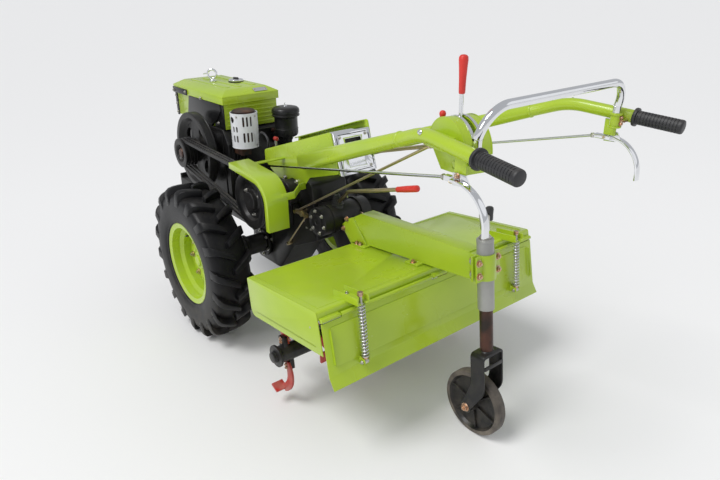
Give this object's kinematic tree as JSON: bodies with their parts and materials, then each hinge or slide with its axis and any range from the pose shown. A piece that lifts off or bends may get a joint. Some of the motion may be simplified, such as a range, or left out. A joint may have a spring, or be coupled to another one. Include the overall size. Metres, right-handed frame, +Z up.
{
  "type": "walking tractor with rotary tiller",
  "caption": "Two-wheeled walking tractor with a side-flywheel diesel engine, long handlebars and a mounted rotary tiller under a hood, standing on its drive wheels and a tail wheel.",
  "frame": {"origin": "middle of the whole machine, on the ground", "axes": "+X forward, +Y to the machine's left, +Z up"},
  "size_m": [2.1751, 0.944, 1.217],
  "materials": {
    "tyre_rubber": "matte",
    "green_paint": "gloss",
    "black_paint": "satin",
    "engine_casting": "satin",
    "black_casting": "satin",
    "white_paint": "satin",
    "red_paint": "satin",
    "grey_paint": "satin",
    "sooty_steel": "matte",
    "chrome_plate": "polished",
    "zinc_plate": "satin",
    "black_rubber": "matte",
    "red_plastic": "gloss",
    "belt_rubber": "matte"
  },
  "bodies": {
    "machine": {"gearbox": "black_casting", "engine_frame": "black_paint", "engine_block": "engine_casting", "engine_cover": "green_paint", "shroud_plate": "black_paint", "lifting_eye": "zinc_plate", "fuel_cap": "chrome_plate", "muffler": "sooty_steel", "muffler_guard": "white_paint", "air_cleaner": "black_paint", "drive_belts": "belt_rubber", "belt_guard": "green_paint", "handle_bracket": "green_paint", "handlebar_left": "green_paint", "handlebar_right": "green_paint", "grip_left": "black_rubber", "grip_right": "black_rubber", "handle_hoop": "chrome_plate", "control_console": "green_paint", "main_lever": "zinc_plate", "gate_plate": "zinc_plate", "tiller_hood": "green_paint", "side_panel_left": "green_paint", "side_panel_right": "green_paint", "gear_lever": "zinc_plate", "linkage_rods": "zinc_plate", "squeeze_lever_left": "chrome_plate", "squeeze_lever_right": "chrome_plate", "tiller_beam": "green_paint", "drive_case": "black_casting", "post_tube": "grey_paint", "post_clamp": "green_paint", "post_crank": "zinc_plate"},
    "wheel_left": {"tyre_left": "tyre_rubber", "rim_left": "green_paint"},
    "wheel_right": {"tyre_right": "tyre_rubber", "rim_right": "green_paint"},
    "flywheel": {"flywheel": "black_casting"},
    "clutch_pulley": {"clutch_pulley": "black_casting"},
    "rotor": {"tiller_rotor": "black_paint", "rotor_blades": "red_paint"},
    "rear_flap": {"rear_flap": "green_paint"},
    "spring_rod_left": {"spring_rod_left": "zinc_plate", "flap_spring_left": "zinc_plate"},
    "spring_rod_right": {"spring_rod_right": "zinc_plate", "flap_spring_right": "zinc_plate"},
    "tail_fork": {"tail_fork": "black_paint"},
    "tail_wheel": {"tail_wheel": "black_rubber"}
  },
  "joints": [
    {"name": "left_wheel_spin", "type": "hinge", "parent": "machine", "child": "wheel_left", "pos_m": [0.426, 0.379, 0.32], "axis": [0, 1, 0], "continuous": true},
    {"name": "right_wheel_spin", "type": "hinge", "parent": "machine", "child": "wheel_right", "pos_m": [0.426, -0.379, 0.32], "axis": [0, 1, 0], "continuous": true},
    {"name": "flywheel_spin", "type": "hinge", "parent": "machine", "child": "flywheel", "pos_m": [0.756, 0, 0.686], "axis": [0, 1, 0], "continuous": true},
    {"name": "clutch_spin", "type": "hinge", "parent": "machine", "child": "clutch_pulley", "pos_m": [0.161, 0, 0.622], "axis": [0, 1, 0], "continuous": true},
    {"name": "rotor_spin", "type": "hinge", "parent": "machine", "child": "rotor", "pos_m": [-0.235, 0, 0.214], "axis": [0, 1, 0], "continuous": true},
    {"name": "flap_hinge", "type": "hinge", "parent": "machine", "child": "rear_flap", "pos_m": [-0.55156, 0, 0.50267], "axis": [0, 1, 0], "range_deg": [0, 25]},
    {"name": "spring_rod_left_pivot", "type": "hinge", "parent": "rear_flap", "child": "spring_rod_left", "pos_m": [-0.60089, 0.346, 0.34899], "axis": [0, 1, 0], "range_deg": [-3.6, 0.3], "deforming": ["flap_spring_left"]},
    {"name": "spring_rod_right_pivot", "type": "hinge", "parent": "rear_flap", "child": "spring_rod_right", "pos_m": [-0.60089, -0.346, 0.34899], "axis": [0, 1, 0], "range_deg": [-3.6, 0.3], "deforming": ["flap_spring_right"]},
    {"name": "tail_swivel", "type": "hinge", "parent": "machine", "child": "tail_fork", "pos_m": [-0.76362, 0, 0.32185], "axis": [0.1045, 0, 0.9945], "continuous": true},
    {"name": "tail_wheel_spin", "type": "hinge", "parent": "tail_fork", "child": "tail_wheel", "pos_m": [-0.734, 0, 0.112], "axis": [0, 1, 0], "continuous": true}
  ],
  "couplings": [
    {"joint": "clutch_spin", "follows": "flywheel_spin", "ratio": 0.5474},
    {"joint": "spring_rod_left_pivot", "follows": "flap_hinge", "ratio": -0.13},
    {"joint": "spring_rod_right_pivot", "follows": "flap_hinge", "ratio": -0.13}
  ]
}
